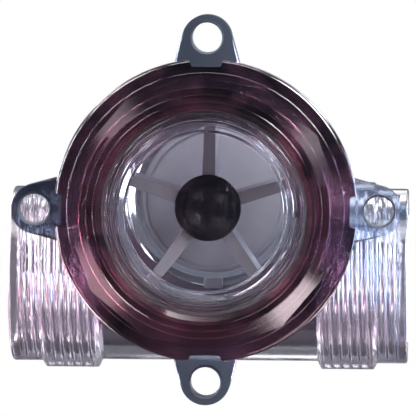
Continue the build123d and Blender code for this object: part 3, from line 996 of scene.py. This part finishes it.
# %% Blades
def blades():
    """The five blades, with softened edges."""
    root, tip = 6.0, 20.0
    outline = softened([(root, -1.64), (tip, -1.35, 0.6), (tip, 1.35, 0.6), (root, 1.64)])
    piece = plate("blades", outline, hub_high.y - 1.4, hub_low.y, BLADE_GREY, edge=0.25)
    return around(piece, BLADE_COUNT, FIRST_BLADE)


shown(blades(), "rotor", "blade_grey", *[f"blade_{i + 1}" for i in range(BLADE_COUNT)])

# %% Hub cap
def fine_groove(radius, y, half=0.42, deep=0.26):
    """A shallow round groove in a face at y, from its outer lip to its inner one."""
    turns = [math.pi * k / 8 for k in range(9)]
    return [(radius + half * math.cos(a), y + deep * math.sin(a)) for a in turns]


def hub_cap():
    """The stepped black nose: fine grooves on its steps, a dished middle and a hollow behind."""
    plate_y = cap_high.y - 1.4
    step_y = plate_y - 0.9
    nose_y = cap_low.y
    dish_y = nose_y + 0.9
    profile = [
        (0, dish_y + 0.6),
        (3.9, dish_y + 0.6),
        (3.9, cap_high.y),
        (7.9, cap_high.y, 0.2),
        (7.9, plate_y, 0.4),
        *fine_groove(7.0, plate_y),
        (6.4, plate_y, 0.1),
        (6.4, step_y, 0.4),
        *fine_groove(5.5, step_y),
        (4.9, step_y, 0.1),
        (4.9, nose_y, 0.5),
        *fine_groove(3.75, nose_y),
        (2.8, nose_y, 0.3),
        (2.8, dish_y, 0.45),
        (0, dish_y),
    ]
    return turned("hub_nose", softened(profile), HUB_BLACK, steps=96)


shown(hub_cap(), "rotor", "hub_black", "hub_cap")

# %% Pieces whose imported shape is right
for name, finish in (
    ("rotor_hub", HUB_BLACK),
    ("axle", STEEL),
    ("axle_clip", STEEL),
    ("front_bushing", BUSHING),
    ("rear_bushing", BUSHING),
    ("front_thrust_washer", WASHER),
    ("rear_thrust_washer", WASHER),
    ("lens_o_ring", SEAL),
    ("slip_washer", WASHER_DARK),
):
    nodes[name].data.materials.clear()
    nodes[name].data.materials.append(finish)

# %% [markdown]
# ## Studio
# Clear plastic shows its room more than its own colour. The room here is dark in front and grey
# behind, so lamps stand out as long highlights while the walls of the pipe read as an even grey. The
# camera itself sees white. The floor is a pale disc well below the object.

# %% Floor
STAGE_R = 2000.0
STAGE_Z = -750.0  # below the lowest lamp, so that the disc hides none of them


def pale_floor():
    """A pale paper disc below the lamps: the camera sees it light, and the clear plastics see it dark."""
    kit, where = start_finish("floor_paper")
    mottle = kit.noise(where, 6.0, detail=2.0)
    seen = kit.add("ShaderNodeLightPath", out=0)
    paper = kit.blend(mottle, (0.84, 0.84, 0.85), (0.9, 0.9, 0.9))
    values = {
        "Base Color": kit.blend(seen, (0.03, 0.028, 0.034), paper),
        "Roughness": 0.7,
        "Emission Color": kit.blend(seen, (0.0, 0.0, 0.0), (1.0, 1.0, 1.0)),
        "Emission Strength": 0.45,
    }
    end_finish(kit, values)
    made = bmesh.new()
    rim = arc(STAGE_R, 0, 360, 96)[:-1]
    made.faces.new([made.verts.new((p.x, p.y, STAGE_Z)) for p in rim])
    floor = new_piece("floor", made, FINISHES["floor_paper"])
    return floor


pale_floor()

# %% Room and lamps
def surround():
    """White for the camera; for everything else, dark in front of the object and grey behind."""
    world = bpy.data.worlds.new("studio")
    bpy.context.scene.world = world
    world.use_nodes = True
    world.node_tree.nodes.clear()
    kit = Nodes(world.node_tree)
    way = kit.add("ShaderNodeTexCoord", out=0)
    depth = kit.add("ShaderNodeSeparateXYZ", {}, {0: way}, out=1)
    room = kit.blend((depth * 0.8 + 0.4).held(), (0.03, 0.032, 0.04), (0.18, 0.185, 0.21))
    seen = kit.add("ShaderNodeLightPath", out=0)
    light = kit.add("ShaderNodeBackground", {}, {"Color": kit.blend(seen, room, (1.0, 1.0, 1.0))})
    kit.add_output("ShaderNodeOutputWorld", light)


def lamp(name, azimuth, elevation, distance, size, power, colour=(1, 1, 1)):
    """A soft rectangular lamp that faces the object and that the camera doesn't see."""
    a, e = math.radians(azimuth), math.radians(elevation)
    away = Vector((math.sin(a) * math.cos(e), -math.cos(a) * math.cos(e), math.sin(e)))
    data = bpy.data.lights.new(name, "AREA")
    data.shape = "RECTANGLE"
    data.size, data.size_y = size
    data.energy = power
    data.color = colour
    made = bpy.data.objects.new(name, data)
    made.location = away * distance
    made.rotation_euler = away.to_track_quat("Z", "Y").to_euler()
    made.visible_camera = False
    bpy.context.scene.collection.objects.link(made)
    return made


surround()
lamp("right_key", 40, 34, 1.0, (0.28, 0.5), 14)
lamp("left_strip", -62, 6, 0.9, (0.12, 0.7), 8, (0.9, 0.95, 1.0))
lamp("top_box", 5, 72, 0.9, (0.6, 0.35), 2.5)
lamp("lower_left_box", -22, -16, 1.4, (0.3, 0.3), 0.8, (1.0, 0.6, 0.7))
lamp("lower_right_box", 14, -21, 1.4, (0.3, 0.2), 1.2, (1.0, 0.82, 0.88))
lamp("right_strip", 19, 9, 1.4, (0.08, 0.3), 0.15, (1.0, 0.85, 0.92))
lamp("left_high", -48, 42, 0.9, (0.14, 0.5), 5)
lamp("upper_left_box", -21, 14, 1.4, (0.2, 0.16), 0.15, (1.0, 0.8, 0.88))
lamp("under_strip", 35, -48, 0.9, (0.5, 0.14), 1, (1.0, 0.78, 0.82))
lamp("blue_edge", 105, 0, 0.8, (0.12, 0.6), 5, (0.45, 0.7, 1.0))
lamp("rose_edge", -115, -20, 0.8, (0.14, 0.5), 4, (1.0, 0.55, 0.65))
lamp("back_wash", 165, 30, 1.2, (0.7, 0.4), 3)
lamp("back_left", -150, 0, 1.0, (0.25, 0.25), 5, (0.9, 0.95, 1.0))
lamp("back_right", 150, 0, 1.0, (0.25, 0.25), 2.5, (0.95, 0.97, 1.0))
lamp("back_low_left", -130, -35, 1.0, (0.25, 0.25), 3.5, (1.0, 0.85, 0.9))
lamp("back_low_right", 130, -35, 1.0, (0.25, 0.25), 2, (1.0, 0.85, 0.9))
lamp("back_high_right", 130, 35, 1.0, (0.25, 0.25), 5, (0.85, 0.93, 1.0))
lamp("back_high_left", -130, 35, 1.0, (0.25, 0.25), 3, (1.0, 0.85, 0.92))
bpy.context.scene.view_settings.view_transform = "Standard"
